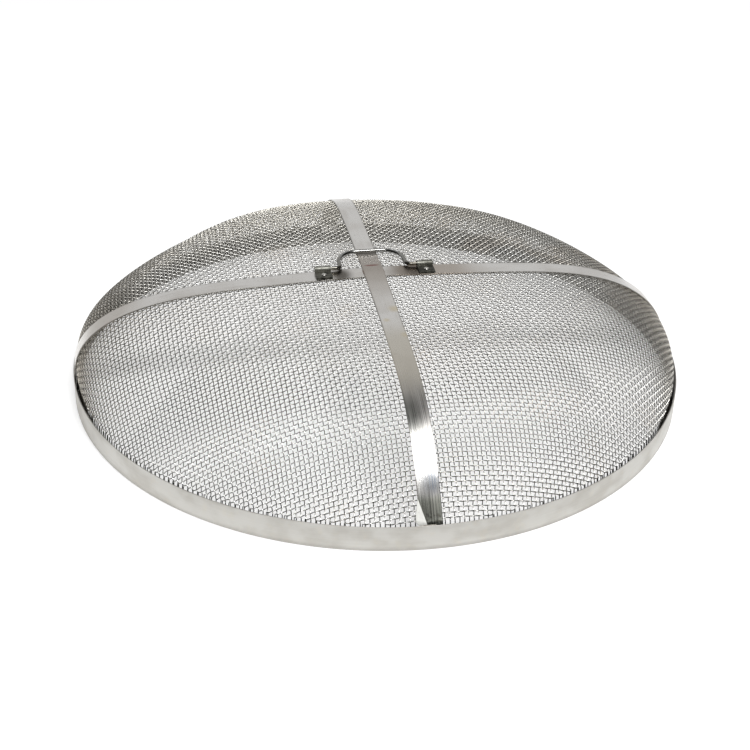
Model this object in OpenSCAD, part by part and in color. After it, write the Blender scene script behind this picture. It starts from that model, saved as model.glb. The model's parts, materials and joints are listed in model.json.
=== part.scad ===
// Domed spark screen for a round fire pit: a woven wire dome in a flat hoop,
// crossed by two flat straps, with a swinging wire bail on top.
// Frame: +Z up, origin at the centre of the hoop's bottom edge.
// +X runs along the left-right strap, +Y along the front-back strap to the rear.
// Units: millimetres.

/* [Rim] */
// Outside diameter of the rim hoop
screen_d = 762; // [740:1:900]
// Height of the rim hoop
rim_h = 31; // [28:0.5:40]
// Sheet thickness of the rim hoop and of the clamp ring
rim_t = 1.2; // [0.9:0.1:1.5]

/* [Dome] */
// Rise of the dome above the rim
dome_rise = 107; // [80:1:140]
// Extra crown at the very middle, where the straps cross
centre_lift = 4.4; // [0:0.1:8]
// How far the mesh pillows out between the straps
pillow = 4; // [0:0.5:8]
// Thickness of the woven mesh, two wires
mesh_t = 2.6; // [2:0.1:2.8]

/* [Straps] */
// Width of both straps
strap_w = 25.4; // [18:0.1:28]
// Thickness of both straps
strap_t = 1.5; // [1:0.1:1.6]
// Sideways offset of the front-back strap from the centre
strap_shift = -4.8; // [-5:0.1:5]

/* [Handle] */
// Diameter of the bail's wire
rod_d = 5; // [4:0.1:5.5]
// Distance between the middles of the two clips
clip_span = 129; // [120:1:140]
// Width of the bail between the centres of its arms
bail_w = 83; // [70:1:90]
// Reach of the bail from its pivot to the middle of the grip
bail_reach = 45; // [40:0.5:52]
// Length of each clip along the pivot
clip_l = 20; // [14:0.5:22]
// Sheet thickness of the clips
clip_t = 1.2; // [0.9:0.1:1.4]

/* [Hidden] */

rim_r = screen_d / 2;
rim_in = rim_r - rim_t;                 // inside face of the hoop
foot_out = rim_in - 0.5;                // outer face of the strap feet
foot_in = foot_out - strap_t;
foot_z = 20;                            // lower end of the strap feet
mesh_r = foot_in - 0.2;                 // mesh radius where it dives into the hoop
edge_r = rim_in - 0.3;                  // mesh radius low down, against the hoop
mesh_z = 5;                             // lower edge of the mesh
clamp_r = (edge_r - mesh_t) * cos(2.5) - 0.05;   // clamp ring, clear of the mesh's flats
clamp_z = 4;
clamp_h = 9;
seg = 72;                               // steps of the mesh dome round the circle
rings = 14;                             // steps of the mesh dome from middle to rim
bail_x = -3;                            // the bail is centred over the front-back strap
bore_r = rod_d / 2 + 0.05;              // running clearance in the clips
barrel_r = bore_r + clip_t;
pivot_y = 9.2;
rivet_y = -3.6;
leaf_y = -12;
gap = 0.12;                             // between the mesh and the straps lying on it

// ---- The dome -----------------------------------------------------------
// Height over the plan point (x, y). The exponents change with direction, as
// the sheet is pulled down harder at the strap ends than between them.
function crown_p(a) = 4.85 + 0.3 * cos(a) - 0.1 * sin(a) - 0.75 * cos(2 * a) - 0.45 * sin(2 * a);
function crown_e(a) = min(1.1, 1.2 - 0.12 * cos(a) - 0.4 * sin(a) - 0.7 * cos(2 * a) + 0.13 * sin(2 * a)
                      + 0.17 * cos(3 * a) + 0.16 * sin(3 * a));
function dome_z(x, y) =
    let (q = min(1, norm([x, y]) / mesh_r), a = (x == 0 && y == 0) ? 0 : atan2(y, x))
    rim_h + dome_rise * pow(max(0, 1 - pow(q, crown_p(a))), crown_e(a))
    + pillow * (1 + 0.5 * cos(a) + 0.7 * sin(a)) * pow(sin(2 * a), 2) * 4 * q * q * (1 - q * q)
    + centre_lift * exp(-pow(q / 0.3, 2));

// Points across a polar grid
function polar(r, a, z) = [r * cos(a), r * sin(a), z];
function ring_q(i) = sin(90 * i / rings);
// Slope of the dome in the radial direction, at share q of the radius
function slope(q, a) =
    let (q1 = min(0.995, q + 0.01), q0 = max(0, q1 - 0.02))
    (dome_z(q1 * mesh_r * cos(a), q1 * mesh_r * sin(a)) - dome_z(q0 * mesh_r * cos(a), q0 * mesh_r * sin(a))) / ((q1 - q0) * mesh_r);
function outer_pt(i, a) = let (r = ring_q(i) * mesh_r) polar(r, a, dome_z(r * cos(a), r * sin(a)));
function inner_pt(i, a) =
    let (r = ring_q(i) * mesh_r, m = slope(ring_q(i), a), k = mesh_t / sqrt(1 + m * m))
    i == rings ? polar(mesh_r - mesh_t, a, rim_h - 0.6)
    : polar(max(r + m * k, (mesh_r - mesh_t) * ring_q(i)), a, dome_z(r * cos(a), r * sin(a)) - k);

// ---- The straps ---------------------------------------------------------
// Each strap rests on the highest wires under its width.
function under_lr(s) = max([for (w = [-1, -0.5, 0, 0.5, 1]) dome_z(s, w * strap_w / 2)]);
function under_fb(s) = max([for (w = [-1, -0.5, 0, 0.5, 1]) dome_z(strap_shift + w * strap_w / 2, s)]);
lr_top = max(under_lr(strap_shift - strap_w / 2), under_lr(strap_shift), under_lr(strap_shift + strap_w / 2)) + gap + strap_t;
// The front-back strap steps up over the other one
function ramp(s) = let (d = abs(s) - strap_w / 2 - 2) d <= 0 ? 1 : d >= 24 ? 0 : (1 + cos(180 * d / 24)) / 2;
step_up = lr_top - under_fb(0) + 0.15;
function strap_line(fb) = concat(
    [[-foot_in, foot_z], [-foot_in, rim_h - 1.5]],
    [for (i = [-32:32]) let (s = (foot_in - 0.25) * sin(90 * i / 32))
        [s, (fb ? under_fb(s) + step_up * ramp(s) : under_lr(s)) + gap]],
    [[foot_in, rim_h - 1.5], [foot_in, foot_z]]);
// A line moved outwards by t
function unit(v) = v / norm(v);
function moved(p, t) = [for (i = [0:len(p) - 1])
    let (d = unit(p[min(len(p) - 1, i + 1)] - p[max(0, i - 1)])) p[i] + t * [-d[1], d[0]]];
function flipped(p) = [for (i = [len(p) - 1:-1:0]) p[i]];

// The clips stand level on the highest point of the strap below them
function seat(x) = max([for (w = [-0.5, 0, 0.5]) under_lr(x + w * clip_l)]) + gap + 0.05 + strap_t;
clip_z = max(seat(bail_x - clip_span / 2), seat(bail_x + clip_span / 2));
pivot_z = clip_z + barrel_r;
// The bail folds back until its grip is just over the front-back strap
rest_drop = pivot_z - (under_fb(pivot_y + bail_reach) + gap + strap_t + rod_d / 2 + 0.35);
rest_a = asin(rest_drop / bail_reach);

// ---- Parts --------------------------------------------------------------
// Flat steel hoop rolled on edge
module rim_band() {
    color([0.78, 0.77, 0.75])
        rotate_extrude($fn = 180) translate([rim_in, 0]) square([rim_t, rim_h]);
}

// Butt weld that closes the hoop, at the rear left
module rim_seam_weld() {
    color([0.60, 0.58, 0.55])
        rotate([0, 0, 125]) translate([rim_r - rim_t / 2, 0, 0.4]) cylinder(r = rim_t / 2 + 0.25, h = rim_h - 0.8, $fn = 24);
}

// Inner hoop that holds the cut edge of the mesh against the rim
module clamp_ring() {
    color([0.70, 0.69, 0.67])
        rotate_extrude($fn = 180) translate([clamp_r - rim_t, clamp_z]) square([rim_t, clamp_h]);
}

// Closed shell that stands for the woven dome: outer skin, inner skin, and the edge tucked into the hoop
module wire_mesh() {
    step = 360 / seg;
    outs = [for (i = [1:rings]) for (j = [0:seg - 1]) outer_pt(i, j * step)];
    tuck = [[mesh_r, 20], [edge_r, 14], [edge_r, mesh_z],
            [edge_r - mesh_t, mesh_z], [edge_r - mesh_t, 13], [mesh_r - mesh_t, 19]];
    edge = [for (t = tuck) for (j = [0:seg - 1]) polar(t[0], j * step, t[1])];
    ins = [for (i = [rings:-1:1]) for (j = [0:seg - 1]) inner_pt(i, j * step)];
    pts = concat(outs, edge, ins, [[0, 0, dome_z(0, 0)], [0, 0, dome_z(0, 0) - mesh_t]]);
    rows = 2 * rings + len(tuck);
    top = rows * seg;
    faces = concat(
        [for (j = [0:seg - 1]) [top, (j + 1) % seg, j]],
        [for (i = [0:rows - 2]) for (j = [0:seg - 1]) for (h = [0, 1])
            let (a = i * seg + j, b = i * seg + (j + 1) % seg, c = b + seg, d = a + seg) h == 0 ? [a, b, c] : [a, c, d]],
        [for (j = [0:seg - 1]) [top + 1, (rows - 1) * seg + j, (rows - 1) * seg + (j + 1) % seg]]);
    color([0.66, 0.65, 0.62]) polyhedron(points = pts, faces = faces, convexity = 6);
}

// Flat strap bent over the dome in a vertical plane, profile along X
module strap(fb) {
    line = strap_line(fb);
    rotate([90, 0, 0]) linear_extrude(height = strap_w, center = true)
        polygon(concat(line, flipped(moved(line, strap_t))));
}

module rivet_hole(x) {
    translate([x, rivet_y, clip_z - 6]) cylinder(r = 1.65, h = 8, $fn = 32);
}

module strap_left_right() {
    color([0.72, 0.70, 0.67]) difference() {
        strap(false);
        rivet_hole(bail_x - clip_span / 2);
        rivet_hole(bail_x + clip_span / 2);
    }
}

module strap_front_back() {
    color([0.76, 0.74, 0.71]) translate([strap_shift, 0, 0]) rotate([0, 0, 90]) strap(true);
}

// Spot-weld nuggets between the strap feet and the inside of the hoop
module strap_foot_welds() {
    color([0.55, 0.53, 0.50]) for (a = [0, 90, 180, 270]) for (w = [-6, 6]) {
        shift = a == 90 ? -strap_shift : a == 270 ? strap_shift : 0;
        rotate([0, 0, a]) translate([foot_out - 0.4, w + shift, 25.5])
            rotate([0, 90, 0]) cylinder(r = 2.5, h = 1.3, $fn = 24);
    }
}

// Tack beads where the upper strap crosses the lower one
module crossing_welds() {
    color([0.45, 0.38, 0.34]) for (s = [-1, 1])
        translate([strap_shift + s * strap_w / 2, 0, lr_top + 0.15]) rotate([90, 0, 0]) cylinder(r = 0.9, h = 9, center = true, $fn = 24);
}

// Sheet folded round the bail's end, its two leaves riveted to the strap
module clip(x) {
    translate([x, 0, 0]) difference() {
        union() {
            translate([0, pivot_y, pivot_z]) rotate([0, 90, 0]) cylinder(r = barrel_r, h = clip_l, center = true, $fn = 48);
            translate([-clip_l / 2, leaf_y, clip_z]) cube([clip_l, pivot_y - leaf_y, 2 * clip_t]);
        }
        translate([0, pivot_y, pivot_z]) rotate([0, 90, 0]) cylinder(r = bore_r, h = clip_l + 2, center = true, $fn = 48);
        translate([0, rivet_y, clip_z - 1]) cylinder(r = 1.65, h = 5, $fn = 32);
    }
}

module clip_left() { color([0.50, 0.50, 0.47]) clip(bail_x - clip_span / 2); }
module clip_right() { color([0.50, 0.50, 0.47]) clip(bail_x + clip_span / 2); }

// Round-head rivet through the clip's leaves and the strap
module rivet(x) {
    z1 = clip_z + 2 * clip_t;
    z0 = under_lr(x) + 0.3;
    cap = [for (a = [0:10:90]) [3.2 * cos(a), z1 + 1.5 * sin(a)]];
    translate([x, rivet_y, 0]) rotate_extrude($fn = 48)
        polygon(concat([[0, z0], [1.6, z0], [1.6, z1]], cap));
}

module rivet_left() { color([0.62, 0.61, 0.58]) rivet(bail_x - clip_span / 2); }
module rivet_right() { color([0.62, 0.61, 0.58]) rivet(bail_x + clip_span / 2); }

// Wire bail: straight ends in the clips, small bends, arms and a rounded grip
module handle_bail() {
    r = rod_d / 2;
    arm = bail_w / 2;
    bend = 7;
    corner = 28;
    end = clip_span / 2 + clip_l / 2;
    color([0.70, 0.70, 0.69]) translate([bail_x, pivot_y, pivot_z]) rotate([-rest_a, 0, 0]) {
        for (m = [0, 1]) mirror([m, 0, 0]) {
            translate([arm + bend, 0, 0]) rotate([0, 90, 0]) cylinder(r = r, h = end - arm - bend, $fn = 48);
            translate([arm + bend, bend, 0]) rotate([0, 0, 180]) rotate_extrude(angle = 90, $fn = 48) translate([bend, 0]) circle(r = r, $fn = 48);
            translate([arm, bend, 0]) rotate([-90, 0, 0]) cylinder(r = r, h = bail_reach - corner - bend, $fn = 48);
            translate([arm - corner, bail_reach - corner, 0]) rotate_extrude(angle = 90, $fn = 48) translate([corner, 0]) circle(r = r, $fn = 48);
        }
        translate([0, bail_reach, 0]) rotate([0, 90, 0]) cylinder(r = r, h = 2 * (arm - corner), center = true, $fn = 48);
    }
}

rim_band();
rim_seam_weld();
clamp_ring();
wire_mesh();
strap_left_right();
strap_front_back();
strap_foot_welds();
crossing_welds();
clip_left();
clip_right();
rivet_left();
rivet_right();
handle_bail();
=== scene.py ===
import json
import math

import bpy
import numpy as np
from mathutils import Matrix, Vector


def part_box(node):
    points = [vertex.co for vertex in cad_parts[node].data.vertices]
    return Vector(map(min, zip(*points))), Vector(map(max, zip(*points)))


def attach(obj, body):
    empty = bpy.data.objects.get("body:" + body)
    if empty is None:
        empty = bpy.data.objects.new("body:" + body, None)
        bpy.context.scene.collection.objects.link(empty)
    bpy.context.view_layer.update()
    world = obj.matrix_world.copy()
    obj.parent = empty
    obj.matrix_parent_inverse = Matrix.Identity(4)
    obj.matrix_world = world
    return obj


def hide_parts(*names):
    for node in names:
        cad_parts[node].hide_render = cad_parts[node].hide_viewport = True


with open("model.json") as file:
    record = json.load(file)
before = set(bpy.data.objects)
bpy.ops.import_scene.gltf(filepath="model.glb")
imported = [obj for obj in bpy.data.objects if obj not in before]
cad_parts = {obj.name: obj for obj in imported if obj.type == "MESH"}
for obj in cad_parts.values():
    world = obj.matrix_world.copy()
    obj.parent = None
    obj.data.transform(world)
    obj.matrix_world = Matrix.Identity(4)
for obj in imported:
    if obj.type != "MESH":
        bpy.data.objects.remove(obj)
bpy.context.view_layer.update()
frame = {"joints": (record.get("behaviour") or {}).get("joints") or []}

scene = bpy.context.scene
MM = 0.001

# ---------------------------------------------------------------- sizes (millimetres)
lo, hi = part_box("rim_band")
RIM_R = hi[0] / MM
RIM_H = hi[2] / MM
RIM_T = 1.2
RIM_IN = RIM_R - RIM_T
STRAP_W, STRAP_T, SHIFT = 25.4, 1.5, -4.8
FOOT_OUT = RIM_IN - 0.5
FOOT_IN = FOOT_OUT - STRAP_T
FOOT_Z = 20.0
MESH_R = FOOT_IN - 0.2
EDGE_R = RIM_IN - 0.3
MESH_T = 2.6
GAP = 0.12
RISE, LIFT, PILLOW = 107.0, 4.4, 4.0
PITCH, WIRE_D = 5.45, 1.3
CLAMP_Z, CLAMP_H = 4.0, 9.0
CLAMP_R = (EDGE_R - MESH_T) * math.cos(math.radians(2.5)) - 0.05
BAIL_X, PIVOT_Y = -3.0, 9.2
CLIP_SPAN, CLIP_L, CLIP_T = 129.0, 20.0, 1.2
ROD_R, BORE_R = 2.5, 2.55
BARREL_R = BORE_R + CLIP_T
RIVET_Y, LEAF_Y = -3.6, -12.0
BAIL_W, REACH, BEND, CORNER = 83.0, 45.0, 7.0, 28.0


def dome(x, y):
    """Height of the outer face of the mesh, mm, over plan points in mm."""
    x = np.asarray(x, float)
    y = np.asarray(y, float)
    q = np.minimum(1.0, np.hypot(x, y) / MESH_R)
    a = np.arctan2(y, x)
    p = 4.85 + 0.3 * np.cos(a) - 0.1 * np.sin(a) - 0.75 * np.cos(2 * a) - 0.45 * np.sin(2 * a)
    e = np.minimum(
        1.1,
        1.2 - 0.12 * np.cos(a) - 0.4 * np.sin(a) - 0.7 * np.cos(2 * a) + 0.13 * np.sin(2 * a)
        + 0.17 * np.cos(3 * a) + 0.16 * np.sin(3 * a),
    )
    z = RIM_H + RISE * np.maximum(0.0, 1 - q**p) ** e
    z = z + PILLOW * (1 + 0.5 * np.cos(a) + 0.7 * np.sin(a)) * np.sin(2 * a) ** 2 * 4 * q * q * (1 - q * q)
    return z + LIFT * np.exp(-((q / 0.3) ** 2))


def under_lr(s):
    return np.max([dome(s, np.full_like(s, w * STRAP_W / 2)) for w in (-1, -0.5, 0, 0.5, 1)], axis=0)


def under_fb(s):
    return np.max([dome(np.full_like(s, SHIFT + w * STRAP_W / 2), s) for w in (-1, -0.5, 0, 0.5, 1)], axis=0)


A = lambda *v: np.array(v, float)
LR_TOP = float(under_lr(A(SHIFT - STRAP_W / 2, SHIFT, SHIFT + STRAP_W / 2)).max()) + GAP + STRAP_T
STEP = LR_TOP - float(under_fb(A(0.0))[0]) + 0.15


def ramp(s):
    d = np.abs(s) - STRAP_W / 2 - 2
    return np.where(d <= 0, 1.0, np.where(d >= 24, 0.0, (1 + np.cos(np.pi * np.clip(d / 24, 0, 1))) / 2))


def seat(x):
    return float(under_lr(A(x - CLIP_L / 2, x, x + CLIP_L / 2)).max()) + GAP + 0.05 + STRAP_T


CLIP_X = (BAIL_X - CLIP_SPAN / 2, BAIL_X + CLIP_SPAN / 2)
PIVOT_Z = frame["joints"][0]["pos_m"][2] / MM
CLIP_Z = PIVOT_Z - BARREL_R
REST_A = math.asin((PIVOT_Z - (float(under_fb(A(PIVOT_Y + REACH))[0]) + GAP + STRAP_T + ROD_R + 0.35)) / REACH)


# ---------------------------------------------------------------- mesh helpers
def make(name, verts, faces, body="screen", replaces=(), smooth=True, material=None, auto=None, wear_and_shade=None):
    """An object from an (n, 3) array in mm and a list of face index arrays of one length each."""
    me = bpy.data.meshes.new(name)
    v = np.asarray(verts, np.float64) * MM
    me.vertices.add(len(v))
    me.vertices.foreach_set("co", v.astype(np.float32).ravel())
    groups = [np.asarray(f, np.int32) for f in faces if len(f)]
    loops = np.concatenate([g.ravel() for g in groups])
    sizes = np.concatenate([np.full(len(g), g.shape[1], np.int32) for g in groups])
    me.loops.add(len(loops))
    me.loops.foreach_set("vertex_index", loops)
    me.polygons.add(len(sizes))
    me.polygons.foreach_set("loop_start", np.concatenate([[0], np.cumsum(sizes)[:-1]]).astype(np.int32))
    me.update(calc_edges=True)
    me.validate()
    if wear_and_shade is not None:
        me.attributes.new("wear_and_shade", "FLOAT", "POINT").data.foreach_set("value", np.asarray(wear_and_shade, np.float32))
    ob = bpy.data.objects.new(name, me)
    scene.collection.objects.link(ob)
    if smooth:
        me.polygons.foreach_set("use_smooth", np.ones(len(sizes), bool))
        if auto is not None:
            me.set_sharp_from_angle(angle=math.radians(auto))
    if material:
        me.materials.append(material)
    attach(ob, body)
    if replaces:
        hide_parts(*replaces)
    return ob


def lathe(profile, n, wave=None, closed=True):
    """Ring of revolution about Z from an (r, z) outline. wave(angle) is added to the radius."""
    prof = np.asarray(profile, float)
    a = np.linspace(0, 2 * np.pi, n, endpoint=False)
    r = prof[None, :, 0] + (wave(a) if wave is not None else np.zeros(n))[:, None]
    v = np.stack([r * np.cos(a)[:, None], r * np.sin(a)[:, None], np.broadcast_to(prof[None, :, 1], r.shape)], -1).reshape(-1, 3)
    m = len(prof)
    i, j = np.meshgrid(np.arange(n), np.arange(m if closed else m - 1), indexing="ij")
    i2, j2 = (i + 1) % n, (j + 1) % m
    return v, np.stack([i * m + j, i2 * m + j, i2 * m + j2, i * m + j2], -1).reshape(-1, 4)


def rounded(x0, x1, y0, y1, r, k=3):
    """Outline of a rectangle with rounded corners, counterclockwise."""
    out = []
    for cx, cy, a0 in ((x1 - r, y0 + r, -90), (x1 - r, y1 - r, 0), (x0 + r, y1 - r, 90), (x0 + r, y0 + r, 180)):
        for t in np.linspace(a0, a0 + 90, k + 1):
            out.append((cx + r * math.cos(math.radians(t)), cy + r * math.sin(math.radians(t))))
    return np.array(out)


def frames(path, side=None):
    """Unit tangents of a path; the side argument is not used."""
    t = np.gradient(path, axis=0)
    t /= np.linalg.norm(t, axis=1)[:, None]
    return t


def sweep(path, normals, section, caps=True):
    """Section (u along normal x tangent side, v along normal) swept along a path. Section may be (k,2) or (n,k,2)."""
    t = frames(path)
    nrm = normals - (normals * t).sum(1)[:, None] * t
    nrm /= np.linalg.norm(nrm, axis=1)[:, None]
    b = np.cross(t, nrm)
    sec = np.asarray(section, float)
    if sec.ndim == 2:
        sec = np.broadcast_to(sec, (len(path),) + sec.shape)
    v = path[:, None, :] + sec[:, :, 0:1] * b[:, None, :] + sec[:, :, 1:2] * nrm[:, None, :]
    n, k = len(path), sec.shape[1]
    i, j = np.meshgrid(np.arange(n - 1), np.arange(k), indexing="ij")
    j2 = (j + 1) % k
    quads = np.stack([i * k + j, i * k + j2, (i + 1) * k + j2, (i + 1) * k + j], -1).reshape(-1, 4)
    faces = [quads]
    if caps:
        faces.append(np.arange(k)[::-1][None, :])
        faces.append((np.arange(k) + (n - 1) * k)[None, :])
    return v.reshape(-1, 3), faces


def circle(r, n):
    a = np.linspace(0, 2 * np.pi, n, endpoint=False)
    return np.stack([r * np.cos(a), r * np.sin(a)], 1)


def merge(parts):
    """Joins several (verts, faces) into one."""
    vs, groups, at = [], {}, 0
    for v, faces in parts:
        for f in faces:
            f = np.asarray(f)
            groups.setdefault(f.shape[1], []).append(f + at)
        vs.append(v)
        at += len(v)
    return np.concatenate(vs), [np.concatenate(g) for g in groups.values()]


# ---------------------------------------------------------------- materials
class Nodes:
    def __init__(self, name):
        self.mat = bpy.data.materials.new(name)
        self.mat.use_nodes = True
        self.nt = self.mat.node_tree
        self.nt.nodes.clear()
        self.out = self.nt.nodes.new("ShaderNodeOutputMaterial")
        self.bsdf = self.nt.nodes.new("ShaderNodeBsdfPrincipled")
        self.nt.links.new(self.bsdf.outputs[0], self.out.inputs[0])
        self.co = self.nt.nodes.new("ShaderNodeTexCoord").outputs["Object"]

    def link(self, value, socket):
        if hasattr(value, "is_output"):
            self.nt.links.new(value, socket)
        else:
            socket.default_value = value

    def math(self, op, a, b=0.0, clamp=False):
        n = self.nt.nodes.new("ShaderNodeMath")
        n.operation, n.use_clamp = op, clamp
        self.link(a, n.inputs[0])
        self.link(b, n.inputs[1])
        return n.outputs[0]

    def stretched(self, scale, move=(0, 0, 0), vector=None):
        n = self.nt.nodes.new("ShaderNodeMapping")
        n.inputs["Scale"].default_value = scale
        n.inputs["Location"].default_value = move
        self.nt.links.new(vector or self.co, n.inputs["Vector"])
        return n.outputs[0]

    def noise(self, scale, vector=None, detail=2.0, rough=0.5):
        n = self.nt.nodes.new("ShaderNodeTexNoise")
        n.inputs["Scale"].default_value = scale
        n.inputs["Detail"].default_value = detail
        n.inputs["Roughness"].default_value = rough
        self.nt.links.new(vector or self.co, n.inputs["Vector"])
        return n.outputs[0]

    def span(self, value, a, b, c=0.0, d=1.0, smooth=True):
        n = self.nt.nodes.new("ShaderNodeMapRange")
        n.interpolation_type = "SMOOTHSTEP" if smooth else "LINEAR"
        self.link(value, n.inputs["Value"])
        for k, x in zip(("From Min", "From Max", "To Min", "To Max"), (a, b, c, d)):
            n.inputs[k].default_value = x
        return n.outputs[0]

    def mix(self, fac, a, b, mode="MIX"):
        n = self.nt.nodes.new("ShaderNodeMix")
        n.data_type, n.blend_type = "RGBA", mode
        self.link(fac, n.inputs[0])
        for x, s in ((a, n.inputs[6]), (b, n.inputs[7])):
            self.link(x if hasattr(x, "is_output") else (*x, 1.0), s)
        return n.outputs[2]

    def axis(self, i, vector=None):
        n = self.nt.nodes.new("ShaderNodeSeparateXYZ")
        self.nt.links.new(vector or self.co, n.inputs[0])
        return n.outputs[i]

    def near(self, point, inner, outer, squash=(1, 1, 1)):
        """1 inside inner metres of the point, 0 past outer."""
        m = self.stretched(tuple(squash), tuple(-p * s for p, s in zip(point, squash)))
        n = self.nt.nodes.new("ShaderNodeVectorMath")
        n.operation = "LENGTH"
        self.nt.links.new(m, n.inputs[0])
        return self.span(n.outputs["Value"], outer, inner)

    def bump(self, height, distance, strength=1.0):
        n = self.nt.nodes.new("ShaderNodeBump")
        n.inputs["Strength"].default_value = strength
        n.inputs["Distance"].default_value = distance
        self.nt.links.new(height, n.inputs["Height"])
        self.nt.links.new(n.outputs[0], self.bsdf.inputs["Normal"])

    def finish(self, colour, rough, metallic=1.0):
        self.link(colour if hasattr(colour, "is_output") else (*colour, 1.0), self.bsdf.inputs["Base Color"])
        self.link(rough, self.bsdf.inputs["Roughness"])
        self.bsdf.inputs["Metallic"].default_value = metallic
        return self.mat


def wire_material():
    """Drawn wire: brighter on the knuckles of the weave and darker in the dips, partly polish wear and partly painted
    highlight and painted shade; darker and warmer towards the rear, a warm tone with painted shade.
    """
    m = Nodes("mesh_wire")
    att = m.nt.nodes.new("ShaderNodeAttribute")
    att.attribute_type, att.attribute_name = "GEOMETRY", "wear_and_shade"
    knuckle_wear_and_light = att.outputs["Fac"]
    big = m.noise(7.0, detail=3.0)
    fine = m.noise(260.0, detail=1.0)
    dip = m.mix(m.span(big, 0.42, 0.66), (0.27, 0.266, 0.25), (0.235, 0.225, 0.205))
    top = m.mix(m.span(big, 0.42, 0.66), (0.66, 0.655, 0.635), (0.61, 0.595, 0.56))
    # knuckles light, dips dark: polish wear with a painted highlight on the knuckles and painted shade in the dips
    base = m.mix(m.span(knuckle_wear_and_light, 0.25, 0.95), dip, top)
    brown = m.math("MULTIPLY", m.span(m.noise(11.0, m.stretched((1, 1, 1), (3.1, 1.7, 0.4)), detail=2.0), 0.56, 0.70), 0.45)
    base = m.mix(brown, base, (0.40, 0.355, 0.30))
    # darker and warmer towards the rear: a warm tone with painted shade
    rear = m.math("MULTIPLY", m.span(m.axis(1), 0.03, 0.20), 0.60)
    base = m.mix(rear, base, m.mix(knuckle_wear_and_light, (0.20, 0.185, 0.15), (0.46, 0.435, 0.375)))
    wide = m.math("MULTIPLY", m.span(m.math("ABSOLUTE", m.axis(0)), 0.24, 0.35), m.span(m.axis(1), -0.22, -0.05, 0.0, 0.65))
    base = m.mix(wide, base, m.mix(knuckle_wear_and_light, (0.17, 0.15, 0.12), (0.47, 0.43, 0.36)))
    base = m.mix(m.span(fine, 0.45, 0.75, 0.0, 0.20), base, (0.66, 0.655, 0.64))
    # the wire tails below the top of the hoop are painted near black: painted shade in the gap between the mesh and
    # the hoop
    base = m.mix(m.span(m.axis(2), 0.0320, 0.0290, 0.0, 0.92), base, (0.06, 0.056, 0.048))
    rough = m.math("SUBTRACT", m.span(fine, 0.3, 0.7, 0.22, 0.30), m.math("MULTIPLY", knuckle_wear_and_light, 0.06))
    m.bump(fine, 0.00003, 0.4)
    return m.finish(base, rough)


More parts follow.
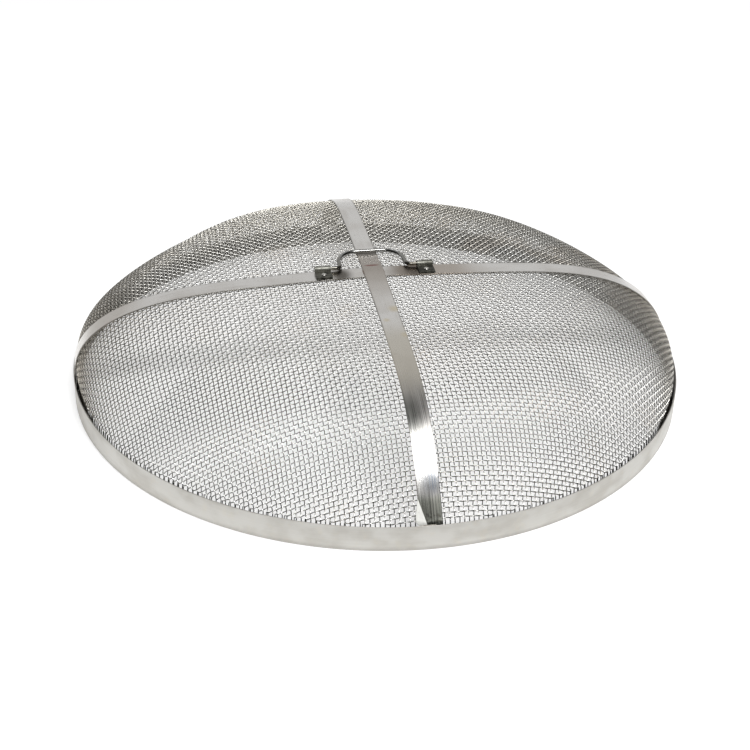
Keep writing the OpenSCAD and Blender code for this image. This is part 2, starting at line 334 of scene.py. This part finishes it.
def strap_material(name, along):
    """along: 0 for a strip that runs in X, 1 for Y."""
    m = Nodes(name)
    s = [900.0, 900.0, 900.0]
    s[along] = 9.0
    s[2] = 9.0
    lines = m.noise(1.0, m.stretched(tuple(s)), detail=3.0, rough=0.6)
    blotch = m.noise(16.0, detail=3.0)
    smear = m.noise(55.0, m.stretched((1, 0.35, 1) if along else (0.35, 1, 1), (0.7, 0.2, 0.1)), detail=3.0)
    base = m.mix(m.span(blotch, 0.40, 0.66), (0.74, 0.725, 0.70), (0.66, 0.635, 0.60))
    base = m.mix(m.span(lines, 0.36, 0.66, 0.0, 0.35), base, (0.82, 0.81, 0.795))
    base = m.mix(m.span(smear, 0.52, 0.72, 0.0, 0.35), base, (0.50, 0.47, 0.43))
    edge = m.axis(1 - along)
    mid = SHIFT * MM if along else 0.0
    far = m.math("ABSOLUTE", m.math("SUBTRACT", edge, mid))
    # both long edges of a strap are painted dark: painted shade along the edges
    base = m.mix(m.span(far, 0.0108, 0.0125, 0.0, 0.80), base, (0.20, 0.19, 0.17))
    if along == 0:
        for pt, r, k, c in (
            ((0.085, 0.0, 0.143), 0.055, 0.75, (0.40, 0.345, 0.29)),
            ((0.038, 0.0, 0.143), 0.036, 0.92, (0.26, 0.22, 0.18)),
            ((-0.046, -0.003, 0.143), 0.019, 0.95, (0.10, 0.088, 0.072)),
            ((0.047, -0.004, 0.143), 0.018, 0.85, (0.12, 0.10, 0.08)),
            ((-0.33, 0.0, 0.11), 0.060, 0.35, (0.45, 0.40, 0.34)),
            ((0.36, 0.0, 0.07), 0.040, 0.40, (0.40, 0.36, 0.30)),
        ):
            base = m.mix(m.math("MULTIPLY", m.near(pt, r * 0.2, r, (1, 0.7, 0.6)), k), base, c)
    else:
        # a brown darkening around the crossing and in front of the grip: painted dark reflection
        tint = m.near((SHIFT * MM, 0.016, 0.144), 0.012, 0.052, (0.5, 1, 0.5))
        base = m.mix(m.math("MULTIPLY", tint, 0.88), base, (0.36, 0.32, 0.28))
        tint = m.near((SHIFT * MM + 0.006, -0.030, 0.144), 0.010, 0.050, (0.6, 1, 0.5))
        base = m.mix(m.math("MULTIPLY", tint, 0.60), base, (0.47, 0.43, 0.385))
        # a dark band on the strap beneath the resting grip: painted shadow of the grip, which stays when the bail
        # swings
        grip_shadow = m.math("MULTIPLY", m.span(m.axis(1), 0.0445, 0.0475), m.span(m.axis(1), 0.0550, 0.0535))
        base = m.mix(m.math("MULTIPLY", grip_shadow, 0.45), base, (0.16, 0.145, 0.125))
        red = m.near((SHIFT * MM, 0.014, 0.144), 0.0012, 0.0030, (0.24, 1, 0.3))
        base = m.mix(m.math("MULTIPLY", red, 0.85), base, (0.20, 0.07, 0.06))
        warm = m.span(m.axis(1), -0.11, -0.17, 0.0, 1.0)
        warm = m.math("MULTIPLY", warm, m.span(m.axis(1), -0.285, -0.235, 0.0, 0.75))
        base = m.mix(warm, base, (0.56, 0.52, 0.44))
        for pt, r in (((0.004, -0.095, 0.139), 0.007), ((0.006, -0.155, 0.135), 0.006), ((-0.010, -0.120, 0.139), 0.004)):
            base = m.mix(m.math("MULTIPLY", m.near(pt, r * 0.3, r * 1.6), 0.45), base, (0.62, 0.50, 0.26))
        # a dark patch left of the middle on the front slope: painted dark reflection
        dark = m.near((-0.014, -0.288, 0.113), 0.006, 0.034, (1.6, 1, 0.6))
        base = m.mix(m.math("MULTIPLY", dark, 0.85), base, (0.23, 0.235, 0.215))
        # a blue-grey patch, streaked along the brushing, on the front foot: painted dark reflection
        streak = m.span(lines, 0.40, 0.62, 0.55, 1.0)
        dark_reflection = m.math("MULTIPLY", m.near((-0.001, -0.3495, 0.066), 0.005, 0.0215, (1.25, 1, 1)), streak)
        base = m.mix(dark_reflection, base, (0.17, 0.185, 0.21))
        # grey-green low on the front foot: painted dim reflection
        front = m.span(m.axis(1), -0.20, -0.24, 0.0, 1.0)
        dim_reflection = m.math("MULTIPLY", m.span(m.axis(2), 0.060, 0.050, 0.0, 0.8), front)
        base = m.mix(dim_reflection, base, (0.36, 0.375, 0.315))
        grime = m.math("MULTIPLY", m.span(m.noise(300.0, detail=2.0), 0.46, 0.62, 0.0, 0.8), m.span(m.axis(2), 0.047, 0.036, 0.0, 1.0))
        base = m.mix(m.math("MULTIPLY", grime, front), base, (0.14, 0.135, 0.115))
        # the turned-up corner of the foot, a triangle along its left edge, painted light: painted reflection of the
        # floor
        corner = m.math("SUBTRACT", m.math("ADD", -0.0175, m.math("MULTIPLY", m.math("SUBTRACT", 0.055, m.axis(2)), 0.35)), m.axis(0))
        flap = m.math("MULTIPLY", m.span(corner, 0.0, 0.0008), m.math("MULTIPLY", front, m.span(m.axis(2), 0.056, 0.050)))
        base = m.mix(m.math("MULTIPLY", flap, 0.9), base, (0.80, 0.80, 0.77))
    speck = m.noise(420.0, detail=2.0)
    base = m.mix(m.span(speck, 0.62, 0.74, 0.0, 0.4), base, (0.36, 0.34, 0.31))
    rough = m.math("ADD", m.span(lines, 0.3, 0.7, 0.20, 0.30), m.span(blotch, 0.4, 0.7, 0.0, 0.08))
    if along:
        rough = m.math("ADD", rough, m.math("MULTIPLY", flap, 0.40))
        rough = m.math("ADD", rough, m.math("MULTIPLY", grip_shadow, 0.40))
    m.bump(lines, 0.00005, 0.5)
    return m.finish(base, rough)


def rim_material(name="rim_steel"):
    m = Nodes(name)
    ang = m.math("ARCTAN2", m.axis(1), m.axis(0))
    comb = m.nt.nodes.new("ShaderNodeCombineXYZ")
    m.link(m.math("MULTIPLY", m.math("COSINE", ang), 3.0), comb.inputs[0])
    m.link(m.math("MULTIPLY", m.math("SINE", ang), 3.0), comb.inputs[1])
    m.link(m.math("MULTIPLY", m.axis(2), 850.0), comb.inputs[2])
    lines = m.noise(1.0, comb.outputs[0], detail=3.0, rough=0.6)
    cloud = m.noise(26.0, m.stretched((1, 1, 1.6)), detail=3.0)
    small = m.noise(110.0, m.stretched((1, 1, 1), (0.3, 0.1, 0.7)), detail=2.0)
    base = m.mix(m.span(cloud, 0.40, 0.64), (0.57, 0.56, 0.53), (0.51, 0.495, 0.46))
    base = m.mix(m.span(small, 0.55, 0.72, 0.0, 0.25), base, (0.58, 0.54, 0.46))
    # darker along the bottom edge: painted contact shade
    edge = m.span(m.axis(2), 0.0060, 0.0008, 0.0, 0.5)
    base = m.mix(edge, base, (0.34, 0.325, 0.30))
    # darker at the left and right ends of the hoop: painted dark reflection
    base = m.mix(m.span(m.math("ABSOLUTE", m.axis(0)), 0.33, 0.378, 0.0, 0.5), base, (0.33, 0.315, 0.285))
    # the inner face and everything inside it is painted near black: painted shade inside the hoop
    comb2 = m.nt.nodes.new("ShaderNodeCombineXYZ")
    m.link(m.axis(0), comb2.inputs[0])
    m.link(m.axis(1), comb2.inputs[1])
    away = m.nt.nodes.new("ShaderNodeVectorMath")
    away.operation = "LENGTH"
    m.nt.links.new(comb2.outputs[0], away.inputs[0])
    inner_shade = m.math("MULTIPLY", m.span(away.outputs["Value"], 0.38015, 0.37995), m.span(m.axis(2), 0.0309, 0.0304, 0.0, 0.9))
    base = m.mix(inner_shade, base, (0.07, 0.065, 0.055))
    rough = m.math("ADD", m.span(lines, 0.3, 0.7, 0.36, 0.48), m.span(cloud, 0.4, 0.7, 0.0, 0.08))
    m.bump(lines, 0.00004, 0.4)
    return m.finish(base, rough)


def clip_material():
    m = Nodes("clip_steel")
    grime = m.noise(240.0, detail=3.0)
    patch = m.noise(90.0, detail=2.0)
    base = m.mix(m.span(patch, 0.4, 0.65), (0.27, 0.27, 0.24), (0.18, 0.18, 0.155))
    base = m.mix(m.span(grime, 0.5, 0.72, 0.0, 0.6), base, (0.09, 0.085, 0.07))
    # the leaf in front of the roll is painted much darker: painted dark reflection
    leaf = m.span(m.axis(1), 0.0054, 0.0042, 0.0, 0.9)
    base = m.mix(leaf, base, m.mix(m.span(patch, 0.35, 0.65), (0.16, 0.157, 0.135), (0.035, 0.034, 0.028)))
    rough = m.span(grime, 0.3, 0.7, 0.44, 0.60)
    m.bump(grime, 0.00012, 0.7)
    return m.finish(base, rough)


def rivet_material():
    m = Nodes("rivet_steel")
    g = m.noise(700.0, detail=2.0)
    base = m.mix(m.span(g, 0.4, 0.7), (0.66, 0.65, 0.61), (0.44, 0.43, 0.40))
    m.bump(g, 0.00005, 0.5)
    return m.finish(base, m.span(g, 0.3, 0.7, 0.22, 0.36))


def bail_material():
    m = Nodes("bail_wire")
    g = m.noise(60.0, detail=3.0)
    f = m.noise(900.0, detail=2.0)
    base = m.mix(m.span(g, 0.4, 0.65), (0.36, 0.36, 0.35), (0.29, 0.285, 0.27))
    base = m.mix(m.span(f, 0.55, 0.75, 0.0, 0.35), base, (0.20, 0.195, 0.18))
    side = m.math("ABSOLUTE", m.math("SUBTRACT", m.axis(0), BAIL_X * MM))
    base = m.mix(m.span(side, 0.034, 0.046, 0.0, 0.75), base, (0.13, 0.12, 0.095))
    m.bump(f, 0.00003, 0.35)
    return m.finish(base, m.span(g, 0.3, 0.7, 0.15, 0.24))


def weld_material():
    m = Nodes("weld")
    g = m.noise(500.0, detail=3.0)
    base = m.mix(m.span(g, 0.35, 0.65), (0.46, 0.44, 0.40), (0.24, 0.21, 0.18))
    brown = m.near((SHIFT * MM, 0.0, 0.144), 0.02, 0.03)
    base = m.mix(m.math("MULTIPLY", brown, 0.6), base, (0.30, 0.18, 0.14))
    # a near-black spot at the weld of the front foot: painted shadow
    foot_shadow_spot = m.near((0.0055, -0.3788, 0.0312), 0.0022, 0.0050, (0.6, 1, 1))
    base = m.mix(m.math("MULTIPLY", foot_shadow_spot, 0.97), base, (0.012, 0.012, 0.012))
    m.bump(g, 0.00015, 0.8)
    return m.finish(base, m.span(g, 0.3, 0.7, 0.38, 0.6))


MAT_WIRE = wire_material()
MAT_LR = strap_material("strap_steel_lr", 0)
MAT_FB = strap_material("strap_steel_fb", 1)
MAT_RIM = rim_material()
MAT_CLIP = clip_material()
MAT_RIVET = rivet_material()
MAT_BAIL = bail_material()
MAT_WELD = weld_material()


# ---------------------------------------------------------------- rim hoop and clamp ring
def wave(a):
    return 0.10 * np.sin(3 * a + 1.0) + 0.06 * np.sin(7 * a + 2.0) + 0.03 * np.sin(19 * a + 0.5)


v, f = lathe(rounded(RIM_IN, RIM_R - 0.02, 0.0, RIM_H, 0.35), 720, lambda a: -np.abs(wave(a)) * 0.5)
make("rim_hoop", v, [f], replaces=("rim_band",), material=MAT_RIM, auto=50)
v, f = lathe(rounded(CLAMP_R - RIM_T, CLAMP_R, CLAMP_Z, CLAMP_Z + CLAMP_H, 0.35), 480)
make("clamp_hoop", v, [f], replaces=("clamp_ring",), material=MAT_RIM, auto=50)


# ---------------------------------------------------------------- woven mesh
def net():
    """Crossing points of the draped weave: tables of x for each wire that runs in Y, and of y for each that runs in X."""
    g = np.arange(-384.0, 384.01, 1.0)
    X, Y = np.meshgrid(g, g, indexing="ij")
    Z = dome(X, Y)
    half = len(g) // 2
    ax = np.zeros_like(Z)
    sx = np.sqrt(1 + np.diff(Z, axis=0) ** 2)
    ax[1:] = np.cumsum(sx, axis=0)
    ax -= ax[half][None, :]
    ay = np.zeros_like(Z)
    sy = np.sqrt(1 + np.diff(Z, axis=1) ** 2)
    ay[:, 1:] = np.cumsum(sy, axis=1)
    ay -= ay[:, half][:, None]
    return g, ax, ay


def wires(along):
    """Polylines of one family: along 0 runs in X, 1 in Y. Returns a list of (index, points, crossing values)."""
    g, ax, ay = net()
    n = 80
    fine = np.arange(-n * 4, n * 4 + 1) / 4.0          # lattice steps along a wire, quarters
    fine = fine[np.abs(fine * 4 % 4 - 2) == 1]         # only the quarter points either side of a crossing
    own = np.arange(-n, n + 1)
    # tables: coordinate of a wire of the family at each grid line of the other direction
    tab_x = lambda u: np.stack([np.interp(u * PITCH, ax[:, k], g) for k in range(len(g))], 1)  # (u, y)
    tab_y = lambda u: np.stack([np.interp(u * PITCH, ay[k, :], g) for k in range(len(g))], 1)  # (u, x)
    a_tab, b_tab = (tab_y(own), tab_x(fine)) if along == 0 else (tab_x(own), tab_y(fine))
    oi, fi = np.meshgrid(np.arange(len(own)), np.arange(len(fine)), indexing="ij")
    s = fine[fi] * PITCH * 0.9                          # coordinate along the wire
    look = lambda tab, row, c: (
        lambda q: (lambda k, w: tab[row, k] * (1 - w) + tab[row, k + 1] * w)(
            np.floor(q).astype(int), q - np.floor(q)
        )
    )(np.clip(c - g[0], 0, len(g) - 1.001))
    for _ in range(30):
        c = look(a_tab, oi, s)                          # sideways coordinate of the wire here
        s = 0.5 * s + 0.5 * look(b_tab, fi, c)
    x, y = (s, c) if along == 0 else (c, s)
    out = []
    for k in range(len(own)):
        inside = np.hypot(x[k], y[k]) < MESH_R - 0.6
        idx = np.nonzero(inside)[0]
        if len(idx) < 3:
            continue
        a, b = idx[0], idx[-1]
        out.append((int(own[k]), x[k, a : b + 1], y[k, a : b + 1], fine[a : b + 1], (x[k, a - 1], y[k, a - 1]), (x[k, b + 1], y[k, b + 1])))
    return out


def normal(x, y):
    h = 0.5
    zx = (dome(x + h, y) - dome(x - h, y)) / (2 * h)
    zy = (dome(x, y + h) - dome(x, y - h)) / (2 * h)
    n = np.stack([-zx, -zy, np.ones_like(zx)], -1)
    return n / np.linalg.norm(n, axis=-1)[..., None]


def edge_point(p, q):
    """Where the line from p inside to q outside meets the mesh circle."""
    d = (q[0] - p[0], q[1] - p[1])
    A_, B_, C_ = d[0] ** 2 + d[1] ** 2, 2 * (p[0] * d[0] + p[1] * d[1]), p[0] ** 2 + p[1] ** 2 - MESH_R**2
    t = (-B_ + math.sqrt(max(0.0, B_ * B_ - 4 * A_ * C_))) / (2 * A_)
    return p[0] + t * d[0], p[1] + t * d[1]


def tail(p):
    """The cut end of a wire, tucked down between the hoop and the clamp ring."""
    a = math.atan2(p[1], p[0])
    c, s = math.cos(a), math.sin(a)
    h = MESH_T / 2
    pts = [(MESH_R - h - 0.4, RIM_H + 0.3), (MESH_R - h, RIM_H - 3), (MESH_R - h, 20.0), (EDGE_R - h, 13.5), (EDGE_R - h, 5.6)]
    return np.array([(r * c, r * s, z) for r, z in pts]), np.tile([c, s, 0.0], (len(pts), 1))


def woven(along):
    lines = []
    for k, x, y, u, before, after in wires(along):
        cross = np.round(u).astype(int)
        sign = np.where((cross + k) % 2 == 0, 1.0, -1.0) * (1 if along else -1)
        n = normal(x, y)
        mid = np.stack([x, y, dome(x, y)], -1) - MESH_T / 2 * n
        pts = mid + (WIRE_D / 2) * sign[:, None] * n
        t0, n0 = tail(edge_point((x[0], y[0]), before))
        t1, n1 = tail(edge_point((x[-1], y[-1]), after))
        # 1 on the over knuckles, 0 in the dips, 0.3 on the tails: wear with painted highlight and painted shade
        knuckle_wear_and_light = np.concatenate([np.full(len(t0), 0.3), (sign > 0).astype(float), np.full(len(t1), 0.3)])
        lines.append((np.concatenate([t0[::-1], pts, t1]), np.concatenate([n0[::-1], n, n1]), knuckle_wear_and_light))
    return lines


def tubes(lines, sides=6):
    parts = []
    sec = circle(WIRE_D / 2, sides)
    for path, nrm, _ in lines:
        parts.append(sweep(path, nrm, sec))
    return merge(parts) + (np.repeat(np.concatenate([w for _, _, w in lines]), sides),)


for along, names in ((0, ("mesh_wires_across_front", "mesh_wires_across_middle", "mesh_wires_across_rear")),
                     (1, ("mesh_wires_along_left", "mesh_wires_along_middle", "mesh_wires_along_right"))):
    lines = woven(along)
    sizes = np.cumsum([len(p) for p, _, _ in lines])
    cuts = [0] + [int(np.searchsorted(sizes, sizes[-1] * s)) for s in (1 / 3, 2 / 3)] + [len(lines)]
    for name, a, b in zip(names, cuts, cuts[1:]):
        v, f, knuckle_wear_and_light = tubes(lines[a:b])
        make(name, v, f, replaces=("wire_mesh",), material=MAT_WIRE, wear_and_shade=knuckle_wear_and_light)


# ---------------------------------------------------------------- straps
def strap_path(fb):
    t = np.linspace(-90, 90, 361)
    s = (FOOT_IN - 0.25) * np.sin(np.radians(t))
    z = (under_fb(s) + STEP * ramp(s) if fb else under_lr(s)) + GAP
    s = np.concatenate([[-FOOT_IN] * 6, s, [FOOT_IN] * 6])
    zz = np.linspace(FOOT_Z, RIM_H - 1.5, 6)
    z = np.concatenate([zz, z, zz[::-1]])
    return s, z


def strap(fb):
    s, z = strap_path(fb)
    # resample by length
    L = np.concatenate([[0], np.cumsum(np.hypot(np.diff(s), np.diff(z)))])
    at = np.linspace(0, L[-1], 420)
    s, z = np.interp(at, L, s), np.interp(at, L, z)
    ds, dz = np.gradient(s), np.gradient(z)
    k = np.hypot(ds, dz)
    nx, nz = -dz / k, ds / k
    half = STRAP_W / 2
    corners = rounded(-half, half, 0.0, STRAP_T, 0.3)
    across = np.linspace(half - 0.6, -half + 0.6, 15)
    face = np.stack([across, np.full(15, STRAP_T)], 1)
    under = np.stack([across[::-1], np.zeros(15)], 1)
    sec = np.concatenate([corners[:8], face, corners[8:], under])
    sec = np.broadcast_to(sec, (len(s),) + sec.shape).copy()
    o = np.zeros_like(s)
    if fb:
        # the front foot flares to the left, and its lower left corner is turned up along a slanting crease
        low = np.where(s < -300, 1.0, 0.0)
        step = lambda t: np.clip(t, 0, 1) ** 2 * (3 - 2 * np.clip(t, 0, 1))
        flare = 4.0 * step((56 - z) / 20) * step((z - 29) / 4) * low
        crease = -half + 7.7 * np.clip((55 - z) / 22, 0, 1)
        u = sec[:, :, 0]
        stretch = np.clip((crease[:, None] - u) / np.maximum(crease + half, 0.2)[:, None], 0, 1)
        rise = np.clip(crease[:, None] - u, 0, None) * 0.16 * (step((z - 30) / 4) * low)[:, None]
        sec[:, :, 1] += rise
        sec[:, :, 0] -= flare[:, None] * stretch
    if fb:
        path = np.stack([o + SHIFT, s, z], -1)
        nrm = np.stack([o, nx, nz], -1)
    else:
        path = np.stack([s, o, z], -1)
        nrm = np.stack([nx, o, nz], -1)
    return sweep(path, nrm, sec)


v, f = strap(False)
make("strap_across", v, f, replaces=("strap_left_right",), material=MAT_LR, auto=60)
v, f = strap(True)
make("strap_along", v, f, replaces=("strap_front_back",), material=MAT_FB, auto=60)


# ---------------------------------------------------------------- clips
def clip_outline():
    """Centre line of the folded sheet in (y, z) about the pivot: lower leaf, roll, upper leaf."""
    r = BORE_R + CLIP_T / 2
    low = [(y, -r) for y in np.linspace(LEAF_Y - PIVOT_Y, -0.3, 14)]
    roll = [(r * math.cos(a), r * math.sin(a)) for a in np.radians(np.linspace(-90, 200, 48))]
    p0, p3 = np.array(roll[-1]), np.array((-5.3, -1.95))
    p1, p2 = p0 + 0.8 * np.array((0.342, -0.94)), p3 + np.array((1.3, 0.0))
    t = np.linspace(0, 1, 10)[1:, None]
    bez = (1 - t) ** 3 * p0 + 3 * (1 - t) ** 2 * t * p1 + 3 * (1 - t) * t * t * p2 + t**3 * p3
    up = [(y, -1.95) for y in np.linspace(-5.3, LEAF_Y - PIVOT_Y + 0.5, 12)[1:]]
    return np.concatenate([low, roll, bez, up])


def clip(x, name, node):
    line = clip_outline()
    t = np.gradient(line, axis=0)
    t /= np.linalg.norm(t, axis=1)[:, None]
    n = np.stack([-t[:, 1], t[:, 0]], 1)
    rings = []
    for dx, half in ((-CLIP_L / 2, 0.32), (-CLIP_L / 2 + 0.12, 0.52), (-CLIP_L / 2 + 0.35, 0.58), (CLIP_L / 2 - 0.35, 0.58), (CLIP_L / 2 - 0.12, 0.52), (CLIP_L / 2, 0.32)):
        outline = np.concatenate([line - n * half, (line + n * half)[::-1]])
        rings.append(np.stack([np.full(len(outline), x + dx), outline[:, 0] + PIVOT_Y, outline[:, 1] + PIVOT_Z], 1))
    k, m = len(rings[0]), len(rings)
    i, j = np.meshgrid(np.arange(m - 1), np.arange(k), indexing="ij")
    j2 = (j + 1) % k
    quads = np.stack([i * k + j, i * k + j2, (i + 1) * k + j2, (i + 1) * k + j], -1).reshape(-1, 4)
    # end caps as strips between the two faces of the sheet
    h = k // 2
    a = np.arange(h - 1)
    cap0 = np.stack([a, k - 1 - a, k - 2 - a, a + 1], 1)
    cap1 = np.stack([a, a + 1, k - 2 - a, k - 1 - a], 1) + (m - 1) * k
    return make(name, np.concatenate(rings), [quads, cap0, cap1], replaces=(node,), material=MAT_CLIP, auto=45)


clip(CLIP_X[0], "clip_left_folded", "clip_left")
clip(CLIP_X[1], "clip_right_folded", "clip_right")


# ---------------------------------------------------------------- rivets
def rivet(x, name, node):
    z1 = CLIP_Z + 2 * CLIP_T
    z0 = float(under_lr(A(x))[0]) + 0.3
    head = [(3.15 * math.cos(math.radians(a)) + 0.05, z1 + 0.25 + 1.25 * math.sin(math.radians(a))) for a in range(0, 90, 9)]
    prof = [(0.01, z0), (1.6, z0), (1.6, z1), (3.0, z1), (3.2, z1 + 0.08)] + head + [(0.01, z1 + 1.5)]
    v, f = lathe(prof, 40, closed=False)
    v = v + np.array([x, RIVET_Y, 0])
    return make(name, v, [f], replaces=(node,), material=MAT_RIVET, auto=50)


rivet(CLIP_X[0], "rivet_left_head", "rivet_left")
rivet(CLIP_X[1], "rivet_right_head", "rivet_right")


# ---------------------------------------------------------------- bail
def bail():
    arm, end = BAIL_W / 2, CLIP_SPAN / 2 + CLIP_L / 2
    pts = [(-end + e, 0.0) for e in (0.0, 0.15, 0.5)] + [(x, 0.0) for x in np.linspace(-end + 2, -arm - BEND, 14)]
    pts += [(-arm - BEND + BEND * math.sin(a), BEND - BEND * math.cos(a)) for a in np.radians(np.linspace(0, 90, 14))[1:]]
    pts += [(-arm, y) for y in np.linspace(BEND, REACH - CORNER, 6)[1:]]
    pts += [(-arm + CORNER - CORNER * math.cos(a), REACH - CORNER + CORNER * math.sin(a)) for a in np.radians(np.linspace(0, 90, 28))[1:]]
    pts += [(x, REACH) for x in np.linspace(-arm + CORNER, 0, 8)[1:]]
    pts = np.array(pts)
    pts = np.concatenate([pts, (pts * [-1, 1])[::-1][1:]])
    path = np.stack([pts[:, 0], pts[:, 1], np.zeros(len(pts))], 1)
    nrm = np.tile([0.0, 0.0, 1.0], (len(path), 1))
    sec = np.broadcast_to(circle(ROD_R, 28), (len(path), 28, 2)).copy()
    for i, s in ((0, 0.84), (1, 0.95), (2, 1.0)):
        sec[i] *= s
        sec[-1 - i] *= s
    v, f = sweep(path, nrm, sec)
    c, s = math.cos(-REST_A), math.sin(-REST_A)
    v = v @ np.array([[1, 0, 0], [0, c, s], [0, -s, c]]) + np.array([BAIL_X, PIVOT_Y, PIVOT_Z])
    return make("bail_rod", v, f, body="bail", replaces=("handle_bail",), material=MAT_BAIL, auto=60)


bail()


# ---------------------------------------------------------------- welds
def bead(a, b, radius, normal_, lumps, seed, flat=1.0, n=48):
    """Ripply weld bead from point a to point b."""
    a, b = np.array(a, float), np.array(b, float)
    t = np.linspace(0, 1, n)
    path = a + (b - a) * t[:, None]
    side = np.cross((b - a) / np.linalg.norm(b - a), normal_)
    path = path + side * (0.18 * radius * np.sin(5.1 * t + seed))[:, None]
    size = (1 + 0.20 * np.abs(np.sin(np.pi * lumps * t + seed)) + 0.10 * np.sin(17 * t + 2.3 * seed)) / 1.25
    size *= np.sqrt(np.clip(1 - (2 * t - 1) ** 8, 0.02, 1))
    sec = radius * size[:, None, None] * circle(1.0, 14)[None]
    sec = sec * np.array([1.0, flat])
    return sweep(path, np.tile(np.asarray(normal_, float), (n, 1)), sec)


def turned(part, degrees):
    c, s_ = math.cos(math.radians(degrees)), math.sin(math.radians(degrees))
    v, f = part
    return v @ np.array([[c, s_, 0], [-s_, c, 0], [0, 0, 1]]), f


top_z = LR_TOP + 0.15
v, f = merge([bead((SHIFT + k * STRAP_W / 2, -4.5, top_z), (SHIFT + k * STRAP_W / 2, 4.5, top_z), 0.9, (0, 0, 1), 4, 1.0 + k) for k in (-1, 1)])
make("crossing_beads", v, f, replaces=("crossing_welds",), material=MAT_WELD)

parts = []
for k, deg in enumerate((0, 90, 180, 270)):
    shift = {90: -SHIFT, 270: SHIFT}.get(deg, 0.0)
    for w in (-6.0, 6.0):
        lathe_v, lathe_f = lathe([(0.02, -0.4), (1.7, -0.4), (2.3, -0.15), (2.5, 0.25), (2.4, 0.6), (1.6, 0.88), (0.02, 0.9)], 24, closed=False)
        disc = np.stack([lathe_v[:, 2] + FOOT_OUT, lathe_v[:, 0] + w + shift, lathe_v[:, 1] + 25.5], 1)
        parts.append(turned((disc, [lathe_f]), deg))
    reach = (-11.5, 12.5) if deg == 270 else (-8.0 + k, 7.0 + 0.5 * k)
    for c0, c1, r in ((reach[0], -1.5, 0.75), (-3.0, reach[1], 0.68)):
        parts.append(turned(bead((FOOT_OUT + 0.15, c0 + shift, RIM_H - 0.15), (FOOT_OUT + 0.25, c1 + shift, RIM_H - 0.2), r, (0, 0, 1), 3, k + r, 0.8), deg))
v, f = merge(parts)
make("foot_beads", v, f, replaces=("strap_foot_welds",), material=MAT_WELD)

x0, y0 = (RIM_R - RIM_T / 2) * math.cos(math.radians(125)), (RIM_R - RIM_T / 2) * math.sin(math.radians(125))
v, f = bead((x0, y0, 0.4), (x0, y0, RIM_H - 0.4), RIM_T / 2 + 0.25, (x0 / RIM_R, y0 / RIM_R, 0), 13, 0.4, 1.0, 120)
make("seam_bead", v, f, replaces=("rim_seam_weld",), material=MAT_WELD)

# ---------------------------------------------------------------- stage, light, camera
me = bpy.data.meshes.new("floor")
S = 12.0
me.from_pydata([(-S, -S, -0.0006), (S, -S, -0.0006), (S, S, -0.0006), (-S, S, -0.0006)], [], [(0, 1, 2, 3)])
floor = bpy.data.objects.new("floor", me)
scene.collection.objects.link(floor)
m = Nodes("floor_white")
m.finish((0.75, 0.75, 0.75), 0.9, 0.0)
m.bsdf.inputs["Specular IOR Level"].default_value = 0.0
m.bsdf.inputs["Emission Color"].default_value = (1, 1, 1, 1)
m.bsdf.inputs["Emission Strength"].default_value = 0.44
me.materials.append(m.mat)

# A tall white wall stands behind the object, a wide softbox hangs over its front, and the room is dark.
world = bpy.data.worlds.new("studio")
scene.world = world
world.use_nodes = True
wt = world.node_tree
sky = wt.nodes["Background"]
way = wt.nodes.new("ShaderNodeSeparateXYZ")
wt.links.new(wt.nodes.new("ShaderNodeTexCoord").outputs["Generated"], way.inputs[0])


def ramp_of(socket, a, b, c, d):
    n = wt.nodes.new("ShaderNodeMapRange")
    n.interpolation_type = "SMOOTHSTEP"
    wt.links.new(socket, n.inputs[0])
    for k, x in zip(("From Min", "From Max", "To Min", "To Max"), (a, b, c, d)):
        n.inputs[k].default_value = x
    return n.outputs[0]


total = wt.nodes.new("ShaderNodeMath")
total.operation = "ADD"
wt.links.new(ramp_of(way.outputs[1], 0.2, 0.7, 0.0, 0.66), total.inputs[0])
wt.links.new(ramp_of(way.outputs[2], 0.5, 0.9, 0.02, 0.05), total.inputs[1])
sky.inputs[0].default_value = (1, 1, 1, 1)
wt.links.new(total.outputs[0], sky.inputs[1])

lamp = bpy.data.lights.new("softbox", "AREA")
lamp.shape, lamp.size, lamp.size_y, lamp.energy = "RECTANGLE", 5.4, 2.5, 560.0
box = bpy.data.objects.new("softbox", lamp)
scene.collection.objects.link(box)
box.location = (0.5, -3.45, 6.75)
box.rotation_euler = (Vector((0, -0.1, 0)) - box.location).to_track_quat("-Z", "Y").to_euler()

# a pale surround that only the camera sees, beyond the middle of the floor
n_side, wall_r = 96, 11.0
ang = np.linspace(0, 2 * np.pi, n_side, endpoint=False)
wall = [(wall_r * math.cos(t), wall_r * math.sin(t), z) for z in (-3.0, 9.0) for t in ang]
me = bpy.data.meshes.new("surround")
me.from_pydata(wall, [], [(k, (k + 1) % n_side, n_side + (k + 1) % n_side, n_side + k) for k in range(n_side)])
surround = bpy.data.objects.new("surround", me)
scene.collection.objects.link(surround)
for flag in ("visible_diffuse", "visible_glossy", "visible_transmission", "visible_shadow", "visible_volume_scatter"):
    setattr(surround, flag, False)
m = Nodes("surround_white")
m.finish((0.0, 0.0, 0.0), 1.0, 0.0)
m.bsdf.inputs["Specular IOR Level"].default_value = 0.0
m.bsdf.inputs["Emission Color"].default_value = (1, 1, 1, 1)
m.bsdf.inputs["Emission Strength"].default_value = 0.95
me.materials.append(m.mat)

scene.view_settings.view_transform = "Standard"

EL, AZ, ROLL, DIST, F_PX = math.radians(30.593), math.radians(10.55), math.radians(1.343), 5.2 * 0.381, 1534.4
cam_data = bpy.data.cameras.new("camera")
cam = bpy.data.objects.new("camera", cam_data)
scene.collection.objects.link(cam)
scene.camera = cam
cam_data.sensor_width = 36.0
cam_data.lens = 36.0 * F_PX / 750
cam_data.shift_y = -4.06 / 750
cam_data.clip_end = 60
d = Vector((-math.cos(EL) * math.sin(AZ), -math.cos(EL) * math.cos(AZ), math.sin(EL)))
cam.matrix_world = (
    Matrix.Translation(d * DIST)
    @ (-d).to_track_quat("-Z", "Y").to_matrix().to_4x4()
    @ Matrix.Rotation(ROLL, 4, "Z")
)
